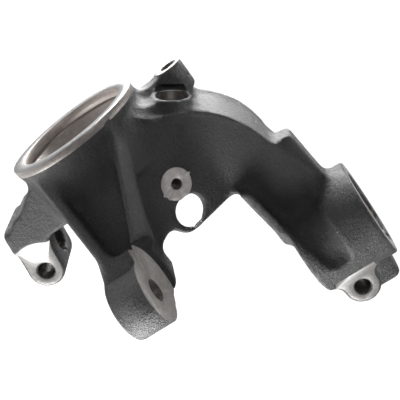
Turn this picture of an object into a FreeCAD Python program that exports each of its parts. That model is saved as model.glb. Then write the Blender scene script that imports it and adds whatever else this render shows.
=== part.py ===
import FreeCAD, Part
import math
import os
import Sketcher

# Steering knuckle, one iron casting, in millimetres.
# Origin: centre of the wheel bearing bore where its wall starts, just inside the outboard face.
# +X runs inboard along the wheel axis, +Z runs up along the strut, -Y runs towards the steering arm.

doc = FreeCAD.newDocument("steering_knuckle")
sheet = doc.addObject("Spreadsheet::Sheet", "sizes")

SIZES = {
    # wheel bearing housing
    "bearing_bore": 82,
    "hub_face_diameter": 101,
    "hub_band_length": 5,
    "hub_body_diameter": 98,
    "hub_length": 44,
    "hub_lip_bore": 74,
    "hub_lip_length": 5,
    "bore_chamfer": 0.8,
    "groove_inset": 6,
    "groove_width": 2,
    "groove_depth": 1.7,
    "axle_clearance_x": 125,
    "cut_margin": 2,
    # gooseneck beam from the housing up to the strut clamp
    "neck_front_y": -22,
    "neck_rear_y": 30,
    "flare_x": 82,
    "flare_depth": 6.5,
    "flare_draft": 25,
    "neck_foot_x": 18,
    "neck_foot_z": 36,
    "neck_shoulder_x": 36,
    "neck_shoulder_z": 94,
    "neck_shoulder_radius": 80,
    "neck_top_z": 129,
    "neck_bottom_z": 75.5,
    "neck_bend_x": 143,
    "neck_bend_z": 74,
    "neck_bend_radius": 40,
    "neck_throat_x": 103,
    "neck_throat_z": 69,
    "neck_throat_radius": 9,
    "neck_overlap": 19,
    "recess_depth": 12,
    "recess_rim": 2,
    "recess_foot_step": 6,
    "recess_floor_z": 80,
    "recess_floor_rise": 12,
    "recess_draft": 12,
    "recess_throat_step": 22,
    "recess_collar_z": 111,
    "recess_overlap": 10,
    # web plate between the neck, the housing and the steering arm
    "web_tilt": 31,
    "web_plane_y": -49,
    "web_thickness": 9,
    "web_edge_x": 104.5,
    "web_corner_z": 27,
    "web_corner_radius": 13,
    "web_notch_x": 91,
    "web_notch_z": 21,
    "web_notch_radius": 3,
    "web_low_z": -8,
    "web_overlap": 6,
    "pad_x": 69,
    "pad_z": 39.7,
    "pad_diameter": 23,
    "pad_height": 1.2,
    "pad_hole_diameter": 8,
    "pad_hole_depth": 8.5,
    "window_x": 91.4,
    "window_z": 37.5,
    "window_diameter": 23.4,
    # steering arm and its tie rod eye
    "arm_root_x": 6,
    "arm_root_y": -38,
    "arm_root_width": 44,
    "arm_root_top": 34,
    "arm_root_inboard_top": 19,
    "arm_flat_width": 18,
    "arm_root_bottom": -32.5,
    "arm_tip_top": 8,
    "arm_tip_bottom": -13.5,
    "arm_eye_x": 97,
    "arm_eye_y": -94,
    "arm_eye_radius": 22.7,
    "arm_eye_top": 9,
    "arm_eye_bottom": -20,
    "arm_heel_y": -44,
    "arm_heel_x": 109,
    "arm_heel_bend_y": -80,
    "arm_heel_radius": 12,
    "spot_face_z": 5,
    "spot_face_radius": 33,
    "tie_rod_hole_diameter": 16,
    "tie_rod_taper": 0.05,
    "pocket_depth": 12,
    "pocket_flange": 8,
    "pocket_top_flange": 3.5,
    "pocket_reach": 77,
    "pocket_corner_radius": 5,
    # leg below the housing and the ball joint clamp
    "leg_front_y": -29,
    "leg_rear_y": 20,
    "leg_top_share": 0.7,
    "leg_knee_x": 24,
    "leg_knee_z": -60,
    "leg_shin_x": 16.5,
    "leg_shin_z": -49,
    "leg_ankle_x": 26,
    "leg_ankle_z": -70,
    "leg_radius": 6,
    "leg_foot_radius": 2,
    "ball_x": 60.5,
    "ball_z": -74,
    "ball_tilt": 11.5,
    "ball_bore": 18,
    "ball_clamp_height": 27,
    "ball_clamp_reach": 29.5,
    "ball_bolt_offset": 10,
    "ball_ear_radius": 13.5,
    "ball_ear_front_y": -24,
    "ball_slot_width": 3,
    "bolt_hole": 12.2,
    "bolt_thread_bore": 10.2,
    "ball_face_radius": 25,
    # strut clamp
    "strut_x": 174,
    "strut_diameter": 77,
    "strut_core_diameter": 67,
    "strut_bore": 55,
    "strut_bottom_z": 80.5,
    "strut_top_z": 138,
    "strut_slot_width": 4.5,
    "strut_bolt_offset": 43,
    "strut_bolt_z": 102.5,
    "strut_ear_radius": 14,
    "strut_ear_front_y": -21,
    "strut_ear_rear_y": 24,
    "strut_rear_ear_reach": 66,
    "strut_rear_ear_top": 130,
    "strut_rear_ear_radius": 6,
    # shoulder block beside the strut clamp
    "block_x": 91,
    "block_z": 121,
    "block_rise": 4,
    "block_front_y": -6,
    "block_rear_y": 13,
    "block_depth": 12,
    # sensor collar and lug on top of the neck
    "sensor_x": 22,
    "sensor_z": 70,
    "sensor_tilt": 35,
    "sensor_collar_diameter": 27.5,
    "sensor_collar_depth": 12,
    "sensor_relief": 5,
    "sensor_mouth_diameter": 21.8,
    "sensor_mouth_depth": 10,
    "sensor_hole_diameter": 15,
    "sensor_hole_length": 62,
    "platform_width": 26,
    "platform_x": 12,
    "lug_x": 8.6,
    "lug_y": 22,
    "lug_z": 74.6,
    "lug_diameter": 21.3,
    "lug_length": 21.3,
    "lug_hole_diameter": 12,
    "lug_hole_depth": 23,
    "lug_rib_reach": 7,
    "lug_rib_width": 17.8,
}

for row, (alias, number) in enumerate(SIZES.items(), start=1):
    sheet.set(f"A{row}", alias)
    sheet.set(f"B{row}", str(number))
    sheet.setAlias(f"B{row}", alias)
doc.recompute()


class Size:
    """A length or an angle together with the sheet expression that gives it."""

    def __init__(self, value, text):
        self.value = value
        self.text = text

    def __add__(self, other):
        other = as_size(other)
        return Size(self.value + other.value, f"({self.text} + {other.text})")

    def __sub__(self, other):
        other = as_size(other)
        return Size(self.value - other.value, f"({self.text} - {other.text})")

    def __mul__(self, other):
        other = as_size(other)
        return Size(self.value * other.value, f"({self.text} * {other.text})")

    def __truediv__(self, other):
        other = as_size(other)
        return Size(self.value / other.value, f"({self.text} / {other.text})")

    def __neg__(self):
        return Size(-self.value, f"(-1 * {self.text})")


def as_size(number):
    return number if isinstance(number, Size) else Size(float(number), str(number))


def size(alias):
    return Size(float(sheet.get(alias)), f"sizes.{alias}")


def sine(angle):
    return Size(math.sin(math.radians(angle.value)), f"sin({angle.text} * 1 deg)")


def cosine(angle):
    return Size(math.cos(math.radians(angle.value)), f"cos({angle.text} * 1 deg)")


body = doc.addObject("PartDesign::Body", "steering_knuckle")
body.Label = "steering_knuckle"
X_DIRECTION = FreeCAD.Vector(1, 0, 0)
Y_DIRECTION = FreeCAD.Vector(0, 1, 0)
Z_DIRECTION = FreeCAD.Vector(0, 0, 1)


def origin_plane(role):
    return next(feature for feature in body.Origin.OriginFeatures if feature.Role == role)


def attach(feature, role, base=(0, 0, 0), axis=Z_DIRECTION, angle=0):
    """Put a feature on an origin plane, shifted by base and turned about axis, all from the sheet."""
    base = [as_size(number) for number in base]
    angle = as_size(angle)
    feature.AttachmentSupport = (origin_plane(role), [""])
    feature.MapMode = "FlatFace"
    shift = FreeCAD.Vector(*[number.value for number in base])
    feature.AttachmentOffset = FreeCAD.Placement(shift, FreeCAD.Rotation(axis, angle.value))
    for letter, number in zip("xyz", base):
        feature.setExpression(f"AttachmentOffset.Base.{letter}", number.text)
    feature.setExpression("AttachmentOffset.Rotation.Angle", angle.text)


def outline(name, role, corners, base=(0, 0, 0), axis=Z_DIRECTION, angle=0):
    """Closed sketch through corners (x, y) or (x, y, radius), rounded by tangent arcs."""
    sketch = body.newObject("Sketcher::SketchObject", name)
    attach(sketch, role, base, axis, angle)
    corners = [[as_size(number) for number in corner] for corner in corners]
    points = [FreeCAD.Vector(corner[0].value, corner[1].value, 0) for corner in corners]
    count = len(points)
    starts, ends, arcs = [], [], []
    for i, corner in enumerate(corners):
        before = (points[i - 1] - points[i]).normalize()
        after = (points[(i + 1) % count] - points[i]).normalize()
        if len(corner) == 2:
            starts.append(points[i])
            ends.append(points[i])
            arcs.append(None)
            continue
        radius = corner[2].value
        half = before.getAngle(after) / 2
        reach = radius / math.tan(half)
        middle = points[i] + (before + after).normalize() * (radius / math.sin(half) - radius)
        ends.append(points[i] + before * reach)
        starts.append(points[i] + after * reach)
        arcs.append(Part.Arc(ends[i], middle, starts[i]))
    lines = [Part.LineSegment(starts[i], ends[(i + 1) % count]) for i in range(count)]
    sketch.addGeometry(lines)
    rules, bound = [], []

    def bind(rule, number):
        bound.append((len(rules), number))
        rules.append(rule)

    for i, corner in enumerate(corners):
        incoming, outgoing = (i - 1) % count, i
        if arcs[i] is None:
            rules.append(Sketcher.Constraint("Coincident", incoming, 2, outgoing, 1))
            bind(Sketcher.Constraint("DistanceX", -1, 1, outgoing, 1, points[i].x), corner[0])
            bind(Sketcher.Constraint("DistanceY", -1, 1, outgoing, 1, points[i].y), corner[1])
            continue
        arc = sketch.addGeometry(arcs[i])
        mark = sketch.addGeometry(Part.Point(points[i]), True)
        first_on_arc = (sketch.getPoint(arc, 1) - ends[i]).Length < (sketch.getPoint(arc, 1) - starts[i]).Length
        into, out = (1, 2) if first_on_arc else (2, 1)
        rules.append(Sketcher.Constraint("Tangent", incoming, 2, arc, into))
        rules.append(Sketcher.Constraint("Tangent", arc, out, outgoing, 1))
        rules.append(Sketcher.Constraint("PointOnObject", mark, 1, incoming))
        rules.append(Sketcher.Constraint("PointOnObject", mark, 1, outgoing))
        bind(Sketcher.Constraint("DistanceX", -1, 1, mark, 1, points[i].x), corner[0])
        bind(Sketcher.Constraint("DistanceY", -1, 1, mark, 1, points[i].y), corner[1])
        bind(Sketcher.Constraint("Radius", arc, corner[2].value), corner[2])
    sketch.addConstraint(rules)
    for index, number in bound:
        sketch.setExpression(f"Constraints[{index}]", number.text)
    return sketch


def bind_all(feature, **numbers):
    for name, number in numbers.items():
        number = as_size(number)
        setattr(feature, name, number.value)
        feature.setExpression(name, number.text)
    return feature


def pad(name, sketch, length):
    feature = body.newObject("PartDesign::Pad", name)
    feature.Profile = sketch
    return bind_all(feature, Length=length)


def pocket(name, sketch, length, draft=0):
    feature = body.newObject("PartDesign::Pocket", name)
    feature.Profile = sketch
    return bind_all(feature, Length=length, TaperAngle=draft)


def disc(name, x, y, diameter, role="XZ_Plane", **place):
    """Circle sketch whose centre and diameter follow the sheet."""
    sketch = body.newObject("Sketcher::SketchObject", name)
    attach(sketch, role, **place)
    x, y, diameter = as_size(x), as_size(y), as_size(diameter)
    centre = FreeCAD.Vector(x.value, y.value, 0)
    sketch.addGeometry(Part.Circle(centre, Z_DIRECTION, diameter.value / 2))
    sketch.addConstraint(
        [
            Sketcher.Constraint("DistanceX", -1, 1, 0, 3, x.value),
            Sketcher.Constraint("DistanceY", -1, 1, 0, 3, y.value),
            Sketcher.Constraint("Diameter", 0, diameter.value),
        ]
    )
    for index, number in enumerate([x, y, diameter]):
        sketch.setExpression(f"Constraints[{index}]", number.text)
    return sketch


def cylinder(kind, name, role, base, diameter, height, axis=Z_DIRECTION, angle=0):
    """Round boss (Additive) or bore (Subtractive) standing on an origin plane."""
    circle = disc(f"{name}_circle", 0, 0, diameter, role, base=base, axis=axis, angle=angle)
    if kind == "Additive":
        return pad(name, circle, height)
    feature = pocket(name, circle, height)
    feature.Reversed = True
    return feature


def revolve(kind, name, sketch, axis):
    """Turned body (Revolution) or turned cut (Groove) about an axis of its sketch."""
    feature = body.newObject(f"PartDesign::{kind}", name)
    feature.Profile = sketch
    feature.ReferenceAxis = (sketch, [axis])
    return bind_all(feature, Angle=360)


# Steering arm: a taper from the housing out to the tie rod eye, pocketed on its outboard side.
band = size("hub_band_length")
root_x, root_y = size("arm_root_x"), size("arm_root_y")
eye_x, eye_y, eye_radius = size("arm_eye_x"), size("arm_eye_y"), size("arm_eye_radius")
eye_top, eye_bottom = size("arm_eye_top"), size("arm_eye_bottom")
root_top, root_bottom = size("arm_root_top"), size("arm_root_bottom")
tip_top, tip_bottom = size("arm_tip_top"), size("arm_tip_bottom")
root_end_x = root_x + size("arm_root_width")
eye_left, eye_right = eye_x - eye_radius, eye_x + eye_radius
arm_flat, face_z = size("arm_flat_width"), size("spot_face_z")
rim = size("recess_rim")
root_section = outline(
    "arm_root_section",
    "XZ_Plane",
    [
        (root_x, root_bottom),
        (root_end_x, root_bottom),
        (root_end_x, size("arm_root_inboard_top")),
        (root_x + arm_flat, root_top),
        (root_x, root_top),
    ],
    base=(0, 0, -root_y),
)
eye_section = outline(
    "arm_eye_section",
    "XZ_Plane",
    [
        (eye_left, tip_bottom),
        (eye_right, tip_bottom),
        (eye_right, tip_top + rim),
        (eye_left + arm_flat, tip_top + rim),
        (eye_left, tip_top),
    ],
    base=(0, 0, -eye_y),
)
arm = body.newObject("PartDesign::AdditiveLoft", "arm_taper")
arm.Profile = root_section
arm.Sections = [eye_section]
arm.Ruled = True
heel_y = size("arm_heel_y")
heel = outline(
    "arm_heel_outline",
    "XY_Plane",
    [
        (eye_left, eye_y),
        (eye_right, eye_y),
        (eye_right, size("arm_heel_bend_y"), size("arm_heel_radius")),
        (size("arm_heel_x"), heel_y),
        (root_end_x, heel_y),
    ],
    base=(0, 0, eye_bottom),
)
pad("arm_heel", heel, eye_top - eye_bottom)
cylinder("Additive", "tie_rod_eye", "XY_Plane", (eye_x, eye_y, eye_bottom), eye_radius * 2, eye_top - eye_bottom)
run_x, run_y = eye_left - root_x, eye_y - root_y
run = Size(math.hypot(run_x.value, run_y.value), f"sqrt({run_x.text}^2 + {run_y.text}^2)")
arm_turn = Size(math.degrees(math.atan(run_y.value / run_x.value)), f"atan({run_y.text} / {run_x.text}) / 1 deg")
reach = size("pocket_reach")
share = reach / run
flange, top_flange = size("pocket_flange"), size("pocket_top_flange")
corner = size("pocket_corner_radius")
arm_window = outline(
    "arm_pocket_outline",
    "XZ_Plane",
    [
        (0, root_bottom + flange),
        (reach, root_bottom + (tip_bottom - root_bottom) * share + flange, corner),
        (reach, root_top + (tip_top - root_top) * share - top_flange, corner),
        (0, root_top - top_flange),
    ],
    base=(root_x, 0, -root_y),
    axis=Y_DIRECTION,
    angle=arm_turn,
)
pocket("arm_pocket", arm_window, size("pocket_depth"))

# Gooseneck beam, recessed on the side of the steering arm.
neck_front, neck_rear = size("neck_front_y"), size("neck_rear_y")
foot_x, foot_z = size("neck_foot_x"), size("neck_foot_z")
shoulder_x, shoulder_z = size("neck_shoulder_x"), size("neck_shoulder_z")
shoulder_radius, throat_radius = size("neck_shoulder_radius"), size("neck_throat_radius")
strut_x, strut_diameter = size("strut_x"), size("strut_diameter")
strut_bottom, strut_top = size("strut_bottom_z"), size("strut_top_z")
neck_bottom, neck_overlap = size("neck_bottom_z"), size("neck_overlap")
throat_x, throat_z = size("neck_throat_x"), size("neck_throat_z")
hub_length = size("hub_length")
neck = outline(
    "neck_outline",
    "XZ_Plane",
    [
        (foot_x, foot_z),
        (shoulder_x, shoulder_z, shoulder_radius),
        (strut_x, size("neck_top_z")),
        (strut_x + neck_overlap, neck_bottom),
        (size("neck_bend_x"), size("neck_bend_z"), size("neck_bend_radius")),
        (throat_x, throat_z, throat_radius),
        (hub_length, foot_z),
    ],
    base=(0, 0, -neck_rear),
)
pad("neck", neck, neck_rear - neck_front)
flare_x = size("flare_x")
neck_slope = (size("neck_top_z") - shoulder_z) / (strut_x - shoulder_x)
flare = outline(
    "neck_flare_outline",
    "XZ_Plane",
    [
        (foot_x, foot_z),
        (shoulder_x, shoulder_z, shoulder_radius),
        (flare_x, shoulder_z + (flare_x - shoulder_x) * neck_slope),
        (flare_x, throat_z + throat_radius),
        (hub_length, foot_z),
    ],
    base=(0, 0, -neck_rear),
)
neck_flare = pad("neck_flare", flare, size("flare_depth"))
neck_flare.Reversed = True
bind_all(neck_flare, TaperAngle=size("flare_draft"))
collar_z = size("recess_collar_z")
lower_height = collar_z - strut_bottom
cylinder("Additive", "strut_lower", "XY_Plane", (strut_x, 0, strut_bottom), strut_diameter, lower_height)
floor_z = size("recess_floor_z")
recess_x = strut_x + size("recess_overlap")
recess = outline(
    "neck_recess_outline",
    "XZ_Plane",
    [
        (foot_x + size("recess_foot_step"), foot_z + rim),
        (shoulder_x + rim, shoulder_z - rim * 2, shoulder_radius - rim),
        (strut_x, size("neck_top_z") - rim),
        (recess_x, collar_z),
        (recess_x, floor_z + size("recess_floor_rise"), throat_radius),
        (throat_x, floor_z, throat_radius),
        (throat_x - size("recess_throat_step"), foot_z + rim),
    ],
    base=(0, 0, strut_diameter / 2),
)
recess_depth = strut_diameter / 2 + neck_front + size("recess_depth")
pocket("neck_recess", recess, recess_depth, size("recess_draft"))
cylinder("Additive", "strut_upper", "XY_Plane", (strut_x, 0, collar_z), strut_diameter, strut_top - collar_z)
core_diameter = size("strut_core_diameter")
cylinder("Additive", "strut_core", "XY_Plane", (strut_x, 0, strut_bottom), core_diameter, strut_top - strut_bottom)

# Web plate, leaning from the neck down to the arm, with its threaded pad.
web_tilt, web_thickness = size("web_tilt"), size("web_thickness")
web_low = size("web_low_z")
lean = {"base": (0, 0, -size("web_plane_y")), "axis": X_DIRECTION, "angle": -web_tilt}


def up_web(height):
    return height / cosine(web_tilt)


web_left, web_top = root_x + band, throat_z + size("web_overlap")
web = outline(
    "web_outline",
    "XZ_Plane",
    [
        (root_end_x, up_web(web_low)),
        (eye_x + band, up_web(web_low)),
        (size("web_notch_x"), up_web(size("web_notch_z")), size("web_notch_radius")),
        (size("web_edge_x"), up_web(size("web_corner_z")), size("web_corner_radius")),
        (size("web_edge_x"), up_web(web_top)),
        (shoulder_x - rim, up_web(web_top)),
        (web_left, up_web(foot_z)),
    ],
    **lean,
)
pad("web", web, web_thickness).Reversed = True
pad_height = size("pad_height")
pad_disc = disc("pad_outline", size("pad_x"), up_web(size("pad_z")), size("pad_diameter"), **lean)
pad("bracket_pad", pad_disc, pad_height)

# Wheel bearing housing around the X axis.
band_radius = size("hub_face_diameter") / 2
body_radius = size("hub_body_diameter") / 2
chamfer = size("bore_chamfer")
housing = outline(
    "housing_section",
    "XZ_Plane",
    [
        (-chamfer, 0),
        (-chamfer, band_radius),
        (band, band_radius),
        (band + band_radius - body_radius, body_radius),
        (hub_length, body_radius),
        (hub_length, 0),
    ],
)
revolve("Revolution", "housing", housing, "H_Axis")

# Leg from the housing down to the ball joint clamp.
ball_x, ball_z, ball_tilt = size("ball_x"), size("ball_z"), size("ball_tilt")
half_height = size("ball_clamp_height") / 2
leg_front, leg_rear = size("leg_front_y"), size("leg_rear_y")
knee_x, knee_z = size("leg_knee_x"), size("leg_knee_z")


def under_clamp(x):
    """Height of the tilted underside of the clamp at x."""
    return ball_z - (x - ball_x) * sine(ball_tilt) / cosine(ball_tilt) - half_height / cosine(ball_tilt)


leg_end_x = ball_x - size("ball_clamp_reach")
foot_radius = size("leg_foot_radius")
leg_top_z = -(body_radius * size("leg_top_share"))
leg = outline(
    "leg_outline",
    "XZ_Plane",
    [
        (band + band, leg_top_z),
        (size("leg_shin_x"), size("leg_shin_z"), size("leg_radius")),
        (knee_x, knee_z, size("leg_radius")),
        (size("leg_ankle_x"), size("leg_ankle_z"), foot_radius),
        (leg_end_x, ball_z, foot_radius),
        (leg_end_x, under_clamp(leg_end_x)),
        (ball_x - band, under_clamp(ball_x - band)),
        (ball_x - band, ball_z + half_height),
        (hub_length + band, knee_z, size("leg_radius")),
        (hub_length + band, leg_top_z),
    ],
    base=(0, 0, -leg_rear),
)
pad("leg", leg, leg_rear - leg_front)
bolt, ear_radius = size("ball_bolt_offset"), size("ball_ear_radius")
ear_front = size("ball_ear_front_y")
tilted = {"base": (ball_x, ball_z, -leg_rear), "angle": -ball_tilt}
ball_block = outline(
    "ball_clamp_outline",
    "XZ_Plane",
    [
        (-size("ball_clamp_reach"), -half_height),
        (bolt, -half_height),
        (bolt, half_height),
        (-size("ball_clamp_reach"), half_height),
    ],
    **tilted,
)
pad("ball_clamp", ball_block, leg_rear - ear_front)
pad("ball_ear", disc("ball_ear_outline", bolt, 0, ear_radius * 2, **tilted), leg_rear - ear_front)

# Split ears of the strut clamp.
strut_bolt_x, strut_bolt_z = strut_x + size("strut_bolt_offset"), size("strut_bolt_z")
ear_height = size("strut_ear_radius")
strut_ear_front, strut_ear_rear = size("strut_ear_front_y"), size("strut_ear_rear_y")
ear_depth = strut_ear_rear - strut_ear_front
ear_block = outline(
    "strut_ear_outline",
    "XZ_Plane",
    [
        (strut_x, strut_bolt_z - ear_height),
        (strut_bolt_x, strut_bolt_z - ear_height),
        (strut_bolt_x, strut_bolt_z + ear_height),
        (strut_x, strut_bolt_z + ear_height),
    ],
    base=(0, 0, -strut_ear_rear),
)
pad("strut_ears", ear_block, ear_depth)
ear_end = disc("strut_ear_end_outline", strut_bolt_x, strut_bolt_z, ear_height * 2, base=(0, 0, -strut_ear_rear))
pad("strut_ear_end", ear_end, ear_depth)
rear_end = strut_x + size("strut_rear_ear_reach")
rear_radius = size("strut_rear_ear_radius")
rear_block = outline(
    "strut_rear_ear_outline",
    "XZ_Plane",
    [
        (strut_x, strut_bolt_z - ear_height),
        (rear_end, strut_bolt_z - ear_height, rear_radius),
        (rear_end, size("strut_rear_ear_top"), rear_radius),
        (strut_x, size("strut_rear_ear_top")),
    ],
    base=(0, 0, -strut_ear_rear),
)
pad("strut_rear_ear", rear_block, strut_ear_rear)

# Shoulder block on the neck beside the strut clamp.
block_end, block_depth = strut_x - neck_overlap, size("block_depth")
block_z, block_rise = size("block_z"), size("block_rise")
block_rear = size("block_rear_y")
block = outline(
    "shoulder_block_outline",
    "XZ_Plane",
    [
        (size("block_x"), block_z - block_depth),
        (size("block_x"), block_z, block_rise),
        (strut_x - strut_diameter / 2, block_z + block_rise),
        (block_end, block_z + block_rise),
        (block_end, block_z - block_depth),
    ],
    base=(0, 0, -block_rear),
)
pad("shoulder_block", block, block_rear - size("block_front_y"))

# Sensor collar and lug on the root of the neck.
sensor_x, sensor_z, sensor_tilt = size("sensor_x"), size("sensor_z"), size("sensor_tilt")
collar, collar_depth = size("sensor_collar_diameter"), size("sensor_collar_depth")
platform_half = size("platform_width") / 2
platform_x = size("platform_x")
platform = outline(
    "platform_outline",
    "XZ_Plane",
    [
        (platform_x, foot_z + band),
        (platform_x + band, sensor_z - collar / 2),
        (sensor_x + collar / 2, sensor_z + band),
        (foot_x + collar / 2, sensor_z - band),
        (foot_x + band, foot_z + band),
    ],
    base=(0, 0, -platform_half),
)
pad("platform", platform, platform_half * 2)
lug_x, lug_y, lug_z = size("lug_x"), size("lug_y"), size("lug_z")
lug_diameter, lug_length = size("lug_diameter"), size("lug_length")
lug_rib = outline(
    "lug_rib_outline",
    "XZ_Plane",
    [
        (platform_x, foot_z + band),
        (lug_x + rim, lug_z - lug_diameter / 2),
        (lug_x + rim * 2, lug_z),
        (lug_x + lug_length - rim, lug_z),
        (hub_length, lug_z),
        (hub_length, foot_z + band),
    ],
    base=(0, 0, -(lug_y + size("lug_rib_reach"))),
)
pad("lug_rib", lug_rib, size("lug_rib_width"))
slant = {"axis": Y_DIRECTION, "angle": -(Size(90, "90") - sensor_tilt)}


def along_sensor(distance):
    """Point on the sensor axis at a distance inwards from the mouth of the collar."""
    return (sensor_x + cosine(sensor_tilt) * distance, 0, sensor_z - sine(sensor_tilt) * distance)


cylinder("Additive", "sensor_collar", "XY_Plane", along_sensor(collar_depth), collar, collar_depth, **slant)
relief = size("sensor_relief")
cylinder("Subtractive", "sensor_face", "XY_Plane", along_sensor(0), collar + relief / 2, relief, **slant)
cylinder("Additive", "lug", "YZ_Plane", (lug_y, lug_z, lug_x), lug_diameter, lug_length)

# Wheel bearing bore with its chamfer, snap ring groove and inboard lip.
bore = size("bearing_bore") / 2
groove_start = size("groove_inset")
groove_end = groove_start + size("groove_width")
groove_radius = bore + size("groove_depth")
lip_start, lip_radius = hub_length - size("hub_lip_length"), size("hub_lip_bore") / 2
bore_end = size("axle_clearance_x")
bore_section = outline(
    "bearing_bore_section",
    "XZ_Plane",
    [
        (-chamfer, 0),
        (-chamfer, bore + chamfer),
        (0, bore),
        (groove_start, bore),
        (groove_start, groove_radius),
        (groove_end, groove_radius),
        (groove_end, bore),
        (lip_start, bore),
        (lip_start, lip_radius),
        (bore_end, lip_radius),
        (bore_end, 0),
    ],
)
revolve("Groove", "bearing_bore", bore_section, "H_Axis")

# Strut bore, its slot and its pinch bolt hole.
margin = size("cut_margin")
strut_bore = size("strut_bore")
strut_low = throat_z - margin
strut_cut = strut_top + margin - strut_low
cylinder("Subtractive", "strut_bore", "XY_Plane", (strut_x, 0, strut_low), strut_bore, strut_cut)
strut_slot = size("strut_slot_width")
strut_gap = outline(
    "strut_slot_outline",
    "XY_Plane",
    [
        (strut_x, -(strut_slot / 2)),
        (rear_end + margin, -(strut_slot / 2)),
        (rear_end + margin, strut_slot / 2),
        (strut_x, strut_slot / 2),
    ],
    base=(0, 0, strut_low),
)
pocket("strut_slot", strut_gap, strut_cut).Reversed = True
clear_hole, thread_hole = size("bolt_hole"), size("bolt_thread_bore")


def cross_hole(name, x, z, front, rear, diameter):
    """Round hole along Y from the front to the rear."""
    cylinder("Subtractive", name, "XZ_Plane", (x, z, -rear), diameter, rear - front)


cross_hole("strut_bolt_hole", strut_bolt_x, strut_bolt_z, strut_ear_front - margin, as_size(0), clear_hole)
cross_hole("strut_bolt_thread", strut_bolt_x, strut_bolt_z, as_size(0), strut_ear_rear + margin, thread_hole)

# Ball joint bore, its slot, its machined ear face and its pinch bolt hole.
stand = {"axis": Y_DIRECTION, "angle": ball_tilt}
stud_reach = half_height + margin
stud_base = (ball_x - sine(ball_tilt) * stud_reach, 0, ball_z - cosine(ball_tilt) * stud_reach)
cylinder("Subtractive", "ball_stud_bore", "XY_Plane", stud_base, size("ball_bore"), stud_reach * 2, **stand)
ball_slot = size("ball_slot_width")
slot_cut = outline(
    "ball_slot_outline",
    "XZ_Plane",
    [
        (0, -stud_reach),
        (bolt + ear_radius + margin, -stud_reach),
        (bolt + ear_radius + margin, stud_reach),
        (0, stud_reach),
    ],
    base=(ball_x, ball_z, -(ball_slot / 2)),
    angle=-ball_tilt,
)
pocket("ball_slot", slot_cut, ball_slot).Reversed = True
ball_bolt_x, ball_bolt_z = ball_x + cosine(ball_tilt) * bolt, ball_z - sine(ball_tilt) * bolt
cross_hole("ball_ear_face", ball_bolt_x, ball_bolt_z, leg_front - margin, ear_front, size("ball_face_radius") * 2)
cross_hole("ball_bolt_hole", ball_bolt_x, ball_bolt_z, ear_front - margin, as_size(0), clear_hole)
cross_hole("ball_bolt_thread", ball_bolt_x, ball_bolt_z, as_size(0), leg_rear + margin, thread_hole)

# Tie rod eye: machined top face and tapered hole.
cylinder("Subtractive", "tie_rod_face", "XY_Plane", (eye_x, eye_y, face_z), size("spot_face_radius") * 2, root_top)
taper = body.newObject("PartDesign::SubtractiveCone", "tie_rod_hole")
attach(taper, "XY_Plane", (eye_x, eye_y, eye_bottom))
tie_rod_radius, taper_height = size("tie_rod_hole_diameter") / 2, face_z - eye_bottom
narrow = tie_rod_radius - taper_height * size("tie_rod_taper")
bind_all(taper, Radius1=narrow, Radius2=tie_rod_radius, Height=taper_height)

# Holes through the web, the lug and the sensor collar.
window = disc("window_outline", size("window_x"), up_web(size("window_z")), size("window_diameter"), **lean)
pocket("window", window, web_thickness * 3).Midplane = True
pad_rise, pad_step = pad_height * sine(web_tilt), pad_height * cosine(web_tilt)
pad_top = {"base": (0, pad_rise, pad_step - size("web_plane_y")), "axis": X_DIRECTION, "angle": -web_tilt}
pad_hole = disc("pad_hole_outline", size("pad_x"), up_web(size("pad_z")), size("pad_hole_diameter"), **pad_top)
pocket("pad_hole", pad_hole, size("pad_hole_depth"))
lug_hole, lug_hole_depth = size("lug_hole_diameter"), size("lug_hole_depth")
cylinder("Subtractive", "lug_hole", "YZ_Plane", (lug_y, lug_z, lug_x), lug_hole, lug_hole_depth)
mouth = size("sensor_mouth_depth")
mouth_diameter = size("sensor_mouth_diameter")
cylinder("Subtractive", "sensor_mouth", "XY_Plane", along_sensor(mouth), mouth_diameter, mouth, **slant)
passage, passage_diameter = size("sensor_hole_length"), size("sensor_hole_diameter")
cylinder("Subtractive", "sensor_hole", "XY_Plane", along_sensor(passage), passage_diameter, passage, **slant)

doc.recompute()
for item in doc.Objects:
    if "Invalid" in item.State or "Error" in item.State:
        raise RuntimeError(f"{item.Name}: {item.State} {item.getStatusString()}")
casting = body.Shape
if casting.isNull() or not casting.isValid() or len(casting.Solids) != 1:
    raise RuntimeError(f"the casting is {len(casting.Solids)} solids, valid {casting.isValid()}")
os.makedirs("parts", exist_ok=True)
casting.exportStep("parts/steering_knuckle.step")
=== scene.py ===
import math

import bmesh
import bpy
import numpy as np
import openvdb as vdb
from mathutils import Euler, Matrix, Vector


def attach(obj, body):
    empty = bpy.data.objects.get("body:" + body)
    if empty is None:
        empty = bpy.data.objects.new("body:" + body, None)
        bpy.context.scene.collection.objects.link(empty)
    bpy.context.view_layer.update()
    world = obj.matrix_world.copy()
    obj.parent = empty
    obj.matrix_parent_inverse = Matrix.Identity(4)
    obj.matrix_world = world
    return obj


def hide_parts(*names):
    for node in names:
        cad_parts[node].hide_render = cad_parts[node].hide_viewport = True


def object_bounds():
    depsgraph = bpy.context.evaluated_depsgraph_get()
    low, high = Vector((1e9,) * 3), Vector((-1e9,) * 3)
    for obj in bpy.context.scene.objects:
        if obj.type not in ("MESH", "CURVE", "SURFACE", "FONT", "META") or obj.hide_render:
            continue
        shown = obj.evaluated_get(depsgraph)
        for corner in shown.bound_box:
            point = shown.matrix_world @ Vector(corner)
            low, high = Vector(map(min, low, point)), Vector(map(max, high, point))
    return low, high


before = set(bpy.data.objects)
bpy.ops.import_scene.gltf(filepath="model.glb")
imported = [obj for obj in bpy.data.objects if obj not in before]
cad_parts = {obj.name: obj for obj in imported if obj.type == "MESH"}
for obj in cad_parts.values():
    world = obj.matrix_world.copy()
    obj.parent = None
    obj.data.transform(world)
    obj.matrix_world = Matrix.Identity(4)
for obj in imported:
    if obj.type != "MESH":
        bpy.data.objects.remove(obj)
cad_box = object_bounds()
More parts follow.
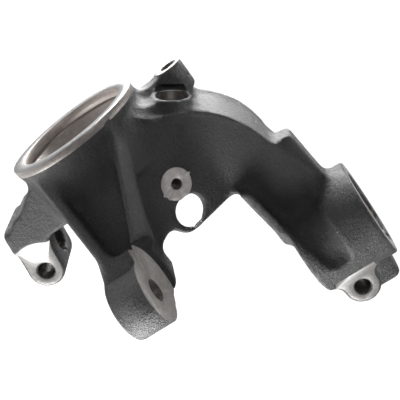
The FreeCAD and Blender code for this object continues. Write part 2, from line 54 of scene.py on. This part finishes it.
scene = bpy.context.scene

NODE = "steering_knuckle"
MM = 0.001
X, Y, Z = Vector((1, 0, 0)), Vector((0, 1, 0)), Vector((0, 0, 1))

# Camera as in the photo: its turn in degrees, its focal length and the hub's place in pixels.
CAMERA_TURN = (67.3161, -54.8763, -1.9482)
FOCAL = 807.71
PHOTO_WIDTH = 400
HUB_PIXEL = (71.5, 125.9)
HUB_DISTANCE = 560.0
SENSOR_WIDTH = 36.0

# Casting, in mm: fillets in the corners of the mould, softness of the outer edges, size of a voxel.
MOULD_FILLET = 5.0
EDGE_SOFTNESS = 0.7
VOXEL = 1.25
SMOOTHING_PASSES = 3
SHARP_EDGE = math.radians(38)

# Bearing housing, turned about X.
BORE_RADIUS = 41
BORE_END_X = 39
GROOVE_RADIUS = 42.7
GROOVE_X = (6, 8)
MOUTH_RADIUS = 41.8
MOUTH_CHAMFER = 0.8
LIP_RADIUS = 37
LIP_END_X = 125
RING_FACE_X = -0.65
RING_RADIUS = 50.5
RING_EDGE = 0.4
RING_BAND = 4.8

# Pinch bolts of both clamps: clearance hole up to the slot, tap size beyond it.
BOLT_RADIUS = 6.1
TAP_RADIUS = 5.1
BOLT_LENGTH = 40

# Strut clamp.
STRUT = Vector((174, 0, 0))
STRUT_BOLT = Vector((217, 0, 102.5))
STRUT_RADIUS = 27.5
STRUT_SLOT = 4.5
STRUT_TOP_Z = 137.7
STRUT_EAR_Y = -20.7

# Ball joint clamp: the stud leans towards +X.
BALL_TILT = math.radians(11.5)
BALL = Vector((60.5, 0, -74))
STUD = Vector((math.sin(BALL_TILT), 0, math.cos(BALL_TILT)))
EAR = Vector((math.cos(BALL_TILT), 0, -math.sin(BALL_TILT)))
BALL_BOLT = BALL + EAR * 10
STUD_RADIUS = 9
STUD_LENGTH = 36
BALL_SLOT = 3.0
BALL_EAR_Y = -23.7

# Tie rod eye.
EYE = Vector((97, -94, 0))
EYE_RADIUS = 22.7
EYE_TOP_Z = 4.85
EYE_BOTTOM_Z = -24

# Web plate with its window and its bracket pad.
WEB_TILT = math.radians(31)
WEB_Y = -49
WEB_NORMAL = Vector((0, -math.cos(WEB_TILT), math.sin(WEB_TILT)))
WEB_UP = Vector((0, math.sin(WEB_TILT), math.cos(WEB_TILT)))
WINDOW_RADIUS = 11.7
PAD_RADIUS = 11.5
PAD_HEIGHT = 1.05
PAD_HOLE_RADIUS = 4
PAD_HOLE_BOTTOM = 7.3
# Nubs of flash on the pad's rim: angle and half width in radians, height in mm.
PAD_FLASH = ((1.55, 0.09, 2.2), (-1.53, 0.11, 1.6), (-1.15, 0.08, 0.7))

# Lug with a blind hole, and the sensor's stepped passage.
LUG = Vector((8.75, 22, 74.6))
LUG_RADIUS = 10.65
LUG_HOLE_RADIUS = 6
SENSOR = Vector((22, 0, 70))
SENSOR_TILT = math.radians(35)
SENSOR_IN = Vector((math.cos(SENSOR_TILT), 0, -math.sin(SENSOR_TILT)))
SENSOR_SEAT_RADIUS = 10.9
SENSOR_PASSAGE_RADIUS = 7.5

# Back of the neck, trimmed where the flare at its foot ends.
FLARE_END = Vector((50, 36.5, 100))
FLARE_TURN = math.radians(9.7)


# Materials
def new_material(name):
    m = bpy.data.materials.new(name)
    m.use_nodes = True
    return m, m.node_tree, m.node_tree.nodes["Principled BSDF"]


def add(tree, kind, **props):
    node = tree.nodes.new(kind)
    for key, value in props.items():
        setattr(node, key, value)
    return node


def ramp(tree, source, stops):
    """Colour ramp: stops are (position, grey or colour)."""
    node = add(tree, "ShaderNodeValToRGB")
    for element, (position, value) in zip(node.color_ramp.elements, stops):
        element.position = position
        color = value if isinstance(value, tuple) else (value, value, value)
        element.color = (*color, 1.0)
    tree.links.new(source, node.inputs[0])
    return node.outputs[0]


def noise(tree, coord, scale, detail, rough):
    node = add(tree, "ShaderNodeTexNoise")
    node.inputs["Scale"].default_value = scale
    node.inputs["Detail"].default_value = detail
    node.inputs["Roughness"].default_value = rough
    tree.links.new(coord, node.inputs["Vector"])
    return node.outputs["Fac"]


def mix_color(tree, factor, first, second):
    node = add(tree, "ShaderNodeMix", data_type="RGBA", blend_type="MIX")
    tree.links.new(factor, node.inputs[0])
    for i, value in ((6, first), (7, second)):
        if isinstance(value, tuple):
            node.inputs[i].default_value = (*value, 1.0)
        else:
            tree.links.new(value, node.inputs[i])
    return node.outputs[2]


def bump(tree, bsdf, layers):
    """Layers of relief: each is (height output, distance in m, strength)."""
    last = None
    for height, distance, strength in layers:
        node = add(tree, "ShaderNodeBump")
        node.inputs["Strength"].default_value = strength
        node.inputs["Distance"].default_value = distance
        tree.links.new(height, node.inputs["Height"])
        if last is not None:
            tree.links.new(last, node.inputs["Normal"])
        last = node.outputs["Normal"]
    tree.links.new(last, bsdf.inputs["Normal"])


def cast_material():
    """Black paint on a sand casting: blotches, grain, and a painted highlight that lightens sharp edges."""
    m, tree, bsdf = new_material("painted_casting")
    coord = add(tree, "ShaderNodeTexCoord").outputs["Object"]
    grain = noise(tree, coord, 1000.0, 5.0, 0.75)
    pits = noise(tree, coord, 420.0, 5.0, 0.7)
    blotch = noise(tree, coord, 45.0, 5.0, 0.6)
    broad = noise(tree, coord, 12.0, 3.0, 0.5)
    base = ramp(tree, blotch, [(0.30, (0.0060, 0.0060, 0.0068)), (0.70, (0.0115, 0.0115, 0.013))])
    base = mix_color(tree, ramp(tree, broad, [(0.35, 0.0), (0.75, 0.35)]), base, (0.020, 0.0193, 0.020))
    base = mix_color(tree, ramp(tree, grain, [(0.47, 0.0), (0.62, 0.9)]), base, (0.038, 0.038, 0.040))
    # Painted highlight: where pointiness is high, sharp edges are lightened towards pale grey.
    edge_highlight_mask = add(tree, "ShaderNodeNewGeometry").outputs["Pointiness"]
    base = mix_color(tree, ramp(tree, edge_highlight_mask, [(0.515, 0.0), (0.60, 0.50)]), base, (0.11, 0.11, 0.115))
    tree.links.new(base, bsdf.inputs["Base Color"])
    tree.links.new(ramp(tree, pits, [(0.3, 0.36), (0.7, 0.56)]), bsdf.inputs["Roughness"])
    bsdf.inputs["Specular IOR Level"].default_value = 0.55
    bump(tree, bsdf, [(blotch, 0.004, 0.5), (pits, 0.0022, 0.9), (grain, 0.0012, 0.9)])
    return m


def metal_material(name, light, dark, scale, rough=0.42, metallic=0.35, turned_about=None):
    """Bare machined iron, with tool marks where it was turned about an axis."""
    m, tree, bsdf = new_material(name)
    coord = add(tree, "ShaderNodeTexCoord").outputs["Object"]
    fine = noise(tree, coord, scale, 4.0, 0.6)
    wide = noise(tree, coord, scale / 8, 3.0, 0.5)
    color = mix_color(tree, ramp(tree, fine, [(0.35, 0.0), (0.68, 1.0)]), dark, light)
    color = mix_color(tree, ramp(tree, wide, [(0.35, 0.0), (0.7, 0.35)]), color, dark)
    tree.links.new(color, bsdf.inputs["Base Color"])
    bsdf.inputs["Metallic"].default_value = metallic
    bsdf.inputs["Roughness"].default_value = rough
    layers = [(fine, 0.0002, 0.4)]
    if turned_about:
        marks = add(tree, "ShaderNodeTexWave", wave_type="RINGS", rings_direction=turned_about)
        marks.inputs["Scale"].default_value = 260.0
        marks.inputs["Distortion"].default_value = 0.4
        tree.links.new(coord, marks.inputs["Vector"])
        layers.append((marks.outputs["Fac"], 0.00012, 0.35))
    bump(tree, bsdf, layers)
    return m


MATERIALS = {
    "cast": cast_material(),
    "face": metal_material("machined_face", (0.29, 0.283, 0.276), (0.24, 0.233, 0.227), 420),
    "ring": metal_material(
        "machined_ring_face", (0.25, 0.247, 0.244), (0.19, 0.186, 0.184), 500, rough=0.38, turned_about="X"
    ),
    "band": metal_material("machined_band", (0.24, 0.215, 0.20), (0.15, 0.135, 0.125), 420, 0.45, 0.3),
    "bore": metal_material("bearing_bore_wall", (0.27, 0.24, 0.225), (0.21, 0.185, 0.17), 300, 0.48, 0.25),
    "eye": metal_material("tie_rod_eye_face", (0.27, 0.255, 0.24), (0.19, 0.18, 0.17), 350, 0.5, 0.2),
    "pad": metal_material("pad_face", (0.42, 0.395, 0.39), (0.31, 0.29, 0.285), 350, 0.5, 0.2),
    "hole": metal_material("drilled_hole", (0.060, 0.051, 0.046), (0.034, 0.029, 0.026), 500, 0.45, 0.3),
}
KINDS = list(MATERIALS)


# Closed bodies that are added to the casting or cut from it
def outward_normals(mesh):
    bm = bmesh.new()
    bm.from_mesh(mesh)
    bmesh.ops.recalc_face_normals(bm, faces=bm.faces)
    bm.to_mesh(mesh)
    bm.free()


def body(name, verts, faces, kinds):
    """Closed body from points in mm; kinds names the material of each face."""
    mesh = bpy.data.meshes.new(name)
    mesh.from_pydata([tuple(Vector(v) * MM) for v in verts], [], [tuple(f) for f in faces])
    mesh.update()
    for material in MATERIALS.values():
        mesh.materials.append(material)
    mesh.polygons.foreach_set("material_index", [KINDS.index(kind) for kind in kinds])
    outward_normals(mesh)
    ob = bpy.data.objects.new(name, mesh)
    scene.collection.objects.link(ob)
    return ob


def turned(name, origin, axis, profile, kinds, steps=64):
    """Body turned about an axis. The profile is a list of (distance along, radius), first and last on the axis.

    kinds is one material name, or a name for each stretch of the profile.
    """
    if isinstance(kinds, str):
        kinds = [kinds] * (len(profile) - 1)
    side = axis.orthogonal().normalized()
    other = axis.cross(side)
    verts, rings = [], []
    for along, radius in profile:
        count = steps if radius > 0 else 1
        rings.append([len(verts) + k for k in range(count)])
        for k in range(count):
            angle = 2 * math.pi * k / steps
            out = side * math.cos(angle) + other * math.sin(angle)
            verts.append(Vector(origin) + axis * along + out * radius)
    faces, face_kinds = [], []
    for first, second, kind in zip(rings, rings[1:], kinds):
        for k in range(steps):
            k2 = (k + 1) % steps
            if len(first) == 1:
                faces.append((first[0], second[k2], second[k]))
            elif len(second) == 1:
                faces.append((first[k], first[k2], second[0]))
            else:
                faces.append((first[k], first[k2], second[k2], second[k]))
            face_kinds.append(kind)
    return body(name, verts, faces, face_kinds)


def cylinder(name, origin, axis, length, radius, kinds="hole", steps=64):
    return turned(name, origin, axis, [(0, 0), (0, radius), (length, radius), (length, 0)], kinds, steps)


def box(name, low, high, kind, origin=(0, 0, 0), turn=Matrix.Identity(3)):
    """Box between two corners, given in a frame with its own origin and turn."""
    corners = [(x, y, z) for z in (low[2], high[2]) for y in (low[1], high[1]) for x in (low[0], high[0])]
    verts = [Vector(origin) + turn @ Vector(corner) for corner in corners]
    faces = [(0, 2, 3, 1), (4, 5, 7, 6), (0, 1, 5, 4), (2, 6, 7, 3), (0, 4, 6, 2), (1, 3, 7, 5)]
    return body(name, verts, faces, [kind] * len(faces))


def on_web(x, z):
    """Point on the outer side of the web plate."""
    return Vector((x, WEB_Y + math.tan(WEB_TILT) * z, z))


def pad_body(centre, depth=4, steps=90):
    """Bracket pad, with the nubs of flash on its rim."""
    outline = []
    for k in range(steps):
        angle = 2 * math.pi * k / steps
        radius = PAD_RADIUS
        for at, half_width, height in PAD_FLASH:
            turn = abs((angle - at + math.pi) % (2 * math.pi) - math.pi)
            radius += height * max(0.0, 1 - turn / half_width)
        outline.append(centre + X * radius * math.cos(angle) + WEB_UP * radius * math.sin(angle))
    verts = outline + [point - WEB_NORMAL * depth for point in outline]
    faces = [tuple(range(steps)), tuple(range(2 * steps - 1, steps - 1, -1))]
    faces += [(k, k + steps, (k + 1) % steps + steps, (k + 1) % steps) for k in range(steps)]
    return body("pad_blank", verts, faces, ["pad"] * len(faces))


def bolt_cuts(name, centre):
    return [
        cylinder("cut_" + name + "_bolt", centre - Y * BOLT_LENGTH, Y, BOLT_LENGTH, BOLT_RADIUS),
        cylinder("cut_" + name + "_thread", centre - Y, Y, BOLT_LENGTH, TAP_RADIUS),
    ]


def hub_cuts(start=3):
    """Bearing bore with its snap ring groove and inboard lip, and the face of the outboard ring."""
    profile = [(0, 0), (0, MOUTH_RADIUS), (start - MOUTH_CHAMFER, MOUTH_RADIUS), (start, BORE_RADIUS)]
    for x, before, after in zip(GROOVE_X, (BORE_RADIUS, GROOVE_RADIUS), (GROOVE_RADIUS, BORE_RADIUS)):
        profile += [(start + x, before), (start + x, after)]
    profile += [(start + BORE_END_X, BORE_RADIUS), (start + BORE_END_X, LIP_RADIUS)]
    profile += [(start + LIP_END_X, LIP_RADIUS), (start + LIP_END_X, 0)]
    return [
        turned("cut_bearing_bore", X * -start, X, profile, "bore", 160),
        cylinder("cut_ring_face", X * -start, X, start + RING_FACE_X, 55, "ring", 160),
    ]


def strut_cuts():
    slot = STRUT_SLOT / 2
    return [
        cylinder("cut_strut_bore", STRUT + Z * 60, Z, 90, STRUT_RADIUS, "bore", 128),
        cylinder("cut_strut_top", STRUT + Z * STRUT_TOP_Z, Z, 6, 41, "face", 128),
        box("cut_strut_slot", (175, -slot, 60), (250, slot, 150), "cast"),
        box("cut_strut_ear_face", (198, -30, 85), (240, STRUT_EAR_Y, 120), "face"),
    ] + bolt_cuts("strut", STRUT_BOLT)


def ball_cuts():
    slot, half = BALL_SLOT / 2, STUD_LENGTH / 2
    turn = Matrix((EAR, Y, STUD)).transposed()
    face = BALL_BOLT + Y * BALL_EAR_Y
    return [
        cylinder("cut_stud_bore", BALL - STUD * half, STUD, STUD_LENGTH, STUD_RADIUS, steps=96),
        box("cut_ball_slot", (0, -slot, -half), (26, slot, half), "cast", BALL, turn),
        cylinder("cut_ball_face", face, -Y, 20.3, 25, "face", 128),
    ] + bolt_cuts("ball", BALL_BOLT)


def arm_cuts():
    """Top face of the tie rod eye, and its tapered hole."""
    top, bottom = EYE + Z * EYE_TOP_Z, EYE + Z * EYE_BOTTOM_Z
    face = [(0, 0), (0, 33), (34, 33), (34, 0)]
    taper = [(0, 0), (0, 6.55), (29, 8), (32, 8.15), (32, 0)]
    return [
        turned("cut_tie_rod_face", top, Z, face, ["eye", "cast", "cast"], 128),
        turned("cut_tie_rod_hole", bottom, Z, taper, "hole"),
    ]


def web_cuts():
    window, pad = on_web(91.4, 37.5), on_web(69, 39.7)
    clear = 4
    hole_length = clear + PAD_HOLE_BOTTOM
    return [
        cylinder("cut_window", window + WEB_NORMAL * 9, -WEB_NORMAL, 22, WINDOW_RADIUS, "cast", 96),
        cylinder("cut_pad_face", pad + WEB_NORMAL * PAD_HEIGHT, WEB_NORMAL, 6, PAD_RADIUS, "pad", 96),
        cylinder("cut_pad_hole", pad + WEB_NORMAL * clear, -WEB_NORMAL, hole_length, PAD_HOLE_RADIUS),
    ]


def boss_cuts():
    """Face and hole of the lug, and the sensor's passage: relief, seat with a thin bright rim, inner hole."""
    lug_mouth = Vector((6, LUG.y, LUG.z))
    passage = [(0, 0), (0, 14.6), (4.1, 14.6), (4.1, 11.5), (4.6, SENSOR_SEAT_RADIUS), (14, SENSOR_SEAT_RADIUS)]
    passage += [(14, SENSOR_PASSAGE_RADIUS), (62, SENSOR_PASSAGE_RADIUS), (62, 0)]
    kinds = ["cast"] * 3 + ["face"] + ["hole"] * 4
    return [
        cylinder("cut_lug_face", LUG, -X, 5.75, 12.5, "face"),
        cylinder("cut_lug_hole", lug_mouth, X, 26, LUG_HOLE_RADIUS),
        turned("cut_sensor", SENSOR - SENSOR_IN * 4, SENSOR_IN, passage, kinds, 96),
    ]


def trim_cuts():
    turn = Matrix.Rotation(-FLARE_TURN, 3, "Z")
    return [box("cut_flare_end", (-12, 0, -45), (60, 20, 45), "cast", FLARE_END, turn)]


def crisp_blanks():
    """Bodies that give machined features back the crisp rims that the soft casting lacks."""
    ring = [(0, 0), (0, RING_RADIUS - RING_EDGE), (0.5, RING_RADIUS), (RING_BAND, RING_RADIUS)]
    ring += [(6.4, 49), (6.4, 0)]
    lug = [(0, 0), (0, LUG_RADIUS - 0.35), (0.4, LUG_RADIUS), (12, LUG_RADIUS), (12, 0)]
    return [
        turned("ring_blank", X * (RING_FACE_X - 0.05), X, ring, ["ring", "ring", "band", "cast", "cast"], 160),
        cylinder("eye_blank", EYE - Z * 17, Z, 22, EYE_RADIUS, "cast", 128),
        pad_body(on_web(69, 39.7) + WEB_NORMAL * (PAD_HEIGHT + 0.1)),
        turned("lug_blank", LUG - X * 0.15, X, lug, ["face", "face", "cast", "cast"], 96),
    ]


# Casting
def level_set(points, triangles, quads, width):
    """Distance field of a closed mesh, so many voxels wide on each side."""
    transform = vdb.createLinearTransform(voxelSize=VOXEL)
    return vdb.FloatGrid.createLevelSetFromPolygons(
        points, triangles=triangles, quads=quads, transform=transform, halfWidth=width
    )


def moulded_surface(mesh):
    """Surface of a mesh in mm, with the mould's fillets in its corners and its outer edges softened."""
    count = len(mesh.vertices)
    points = np.empty(count * 3, np.float32)
    mesh.vertices.foreach_get("co", points)
    points = points.reshape(-1, 3) * 1000
    mesh.calc_loop_triangles()
    triangles = np.empty(len(mesh.loop_triangles) * 3, np.int32)
    mesh.loop_triangles.foreach_get("vertices", triangles)
    triangles = triangles.reshape(-1, 3).astype(np.uint32)
    width = MOULD_FILLET / VOXEL + 3
    grid = level_set(points, triangles, None, width)
    grown, quads = grid.convertToQuads(isovalue=MOULD_FILLET)
    grid = level_set(grown, None, quads, width)
    shrunk, quads = grid.convertToQuads(isovalue=-MOULD_FILLET - EDGE_SOFTNESS)
    grid = level_set(shrunk, None, quads, EDGE_SOFTNESS / VOXEL + 3)
    return grid.convertToQuads(isovalue=EDGE_SOFTNESS)


def smooth(mesh, passes):
    bm = bmesh.new()
    bm.from_mesh(mesh)
    for _ in range(passes):
        bmesh.ops.smooth_vert(bm, verts=bm.verts, factor=0.5, use_axis_x=True, use_axis_y=True, use_axis_z=True)
    bm.to_mesh(mesh)
    bm.free()


def combine(target, tools, operation):
    """Join or cut the target with closed bodies, which are used up."""
    for tool in tools:
        modifier = target.modifiers.new(tool.name, "BOOLEAN")
        modifier.operation = operation
        modifier.object = tool
        modifier.solver = "MANIFOLD"
    apply_modifiers(target)
    for tool in tools:
        bpy.data.objects.remove(tool)


def apply_modifiers(ob):
    bpy.context.view_layer.objects.active = ob
    for modifier in list(ob.modifiers):
        bpy.ops.object.modifier_apply(modifier=modifier.name)


points, quads = moulded_surface(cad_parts[NODE].data)
casting = body("casting", points, quads, ["cast"] * len(quads))
smooth(casting.data, SMOOTHING_PASSES)
outward_normals(casting.data)

cutters = hub_cuts() + strut_cuts() + ball_cuts() + arm_cuts() + web_cuts() + boss_cuts() + trim_cuts()
combine(cutters[0], cutters[1:], "UNION")
combine(casting, crisp_blanks(), "UNION")
combine(casting, cutters[:1], "DIFFERENCE")

casting.data.polygons.foreach_set("use_smooth", [True] * len(casting.data.polygons))
bpy.ops.object.select_all(action="DESELECT")
casting.select_set(True)
bpy.context.view_layer.objects.active = casting
bpy.ops.object.shade_auto_smooth(angle=SHARP_EDGE)
apply_modifiers(casting)

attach(casting, "root")
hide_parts(NODE)


# Camera
camera_data = bpy.data.cameras.new("camera")
camera = bpy.data.objects.new("camera", camera_data)
scene.collection.objects.link(camera)
turn = Euler([math.radians(angle) for angle in CAMERA_TURN], "XYZ").to_matrix()
RIGHT, UP, BACK = (turn.col[i].copy() for i in range(3))
hub_right, hub_down = (pixel - PHOTO_WIDTH / 2 for pixel in HUB_PIXEL)
hub_seen = Vector((hub_right / FOCAL, -hub_down / FOCAL, -1)) * HUB_DISTANCE
place = turn.to_4x4()
place.translation = -(turn @ hub_seen) * MM
camera.matrix_world = place
camera_data.sensor_width = SENSOR_WIDTH
camera_data.sensor_fit = "HORIZONTAL"
camera_data.lens = FOCAL / PHOTO_WIDTH * SENSOR_WIDTH
camera_data.clip_start = 0.01
camera_data.clip_end = 50
scene.camera = camera


# Floor, far enough below to leave the background white, and lit for the camera alone
FLOOR_DROP = 1.0
floor_z = cad_box[0][2] - FLOOR_DROP
bpy.ops.mesh.primitive_plane_add(size=12, location=(0, 0, floor_z))
floor = bpy.context.object
floor.name = "floor"
floor_material, tree, bsdf = new_material("floor_white")
bsdf.inputs["Base Color"].default_value = (0.86, 0.86, 0.86, 1)
bsdf.inputs["Roughness"].default_value = 0.9
glow = add(tree, "ShaderNodeEmission")
tree.links.new(add(tree, "ShaderNodeLightPath").outputs["Is Camera Ray"], glow.inputs["Strength"])
both = add(tree, "ShaderNodeAddShader")
tree.links.new(bsdf.outputs[0], both.inputs[0])
tree.links.new(glow.outputs[0], both.inputs[1])
tree.links.new(both.outputs[0], tree.nodes["Material Output"].inputs["Surface"])
floor.data.materials.append(floor_material)


# World: plain white for the camera, dimmer as a light
world = bpy.data.worlds.new("world")
scene.world = world
world.use_nodes = True
tree = world.node_tree
light = tree.nodes["Background"]
light.inputs["Color"].default_value = (1, 1, 1, 1)
light.inputs["Strength"].default_value = 0.2
seen = add(tree, "ShaderNodeBackground")
seen.inputs["Color"].default_value = (1, 1, 1, 1)
seen.inputs["Strength"].default_value = 1.1
mixer = add(tree, "ShaderNodeMixShader")
tree.links.new(add(tree, "ShaderNodeLightPath").outputs["Is Camera Ray"], mixer.inputs[0])
tree.links.new(light.outputs[0], mixer.inputs[1])
tree.links.new(seen.outputs[0], mixer.inputs[2])
tree.links.new(mixer.outputs[0], tree.nodes["World Output"].inputs["Surface"])


# Lamps: direction from the part in the camera's axes, distance and size in m, power in W
def lamp(name, right, up, back, distance, size, power):
    data = bpy.data.lights.new(name, "AREA")
    data.shape = "RECTANGLE"
    data.size = size
    data.size_y = size
    data.energy = power
    ob = bpy.data.objects.new(name, data)
    scene.collection.objects.link(ob)
    direction = (RIGHT * right + UP * up + BACK * back).normalized()
    centre = (Vector(cad_box[0]) + Vector(cad_box[1])) / 2
    ob.location = centre + direction * distance
    ob.rotation_mode = "QUATERNION"
    ob.rotation_quaternion = direction.to_track_quat("Z", "Y")


lamp("top", -0.15, 1.0, -0.55, distance=1.3, size=1.0, power=60)
lamp("under", -0.1, -1.0, -0.2, distance=0.75, size=0.7, power=20)
lamp("left", -1.0, 0.2, 0.15, distance=1.3, size=0.8, power=3.5)
lamp("right", 1.0, 0.2, -0.2, distance=1.3, size=0.8, power=12)
lamp("front", 0.15, 0.5, 1.0, distance=1.6, size=0.5, power=9)

scene.view_settings.view_transform = "Standard"
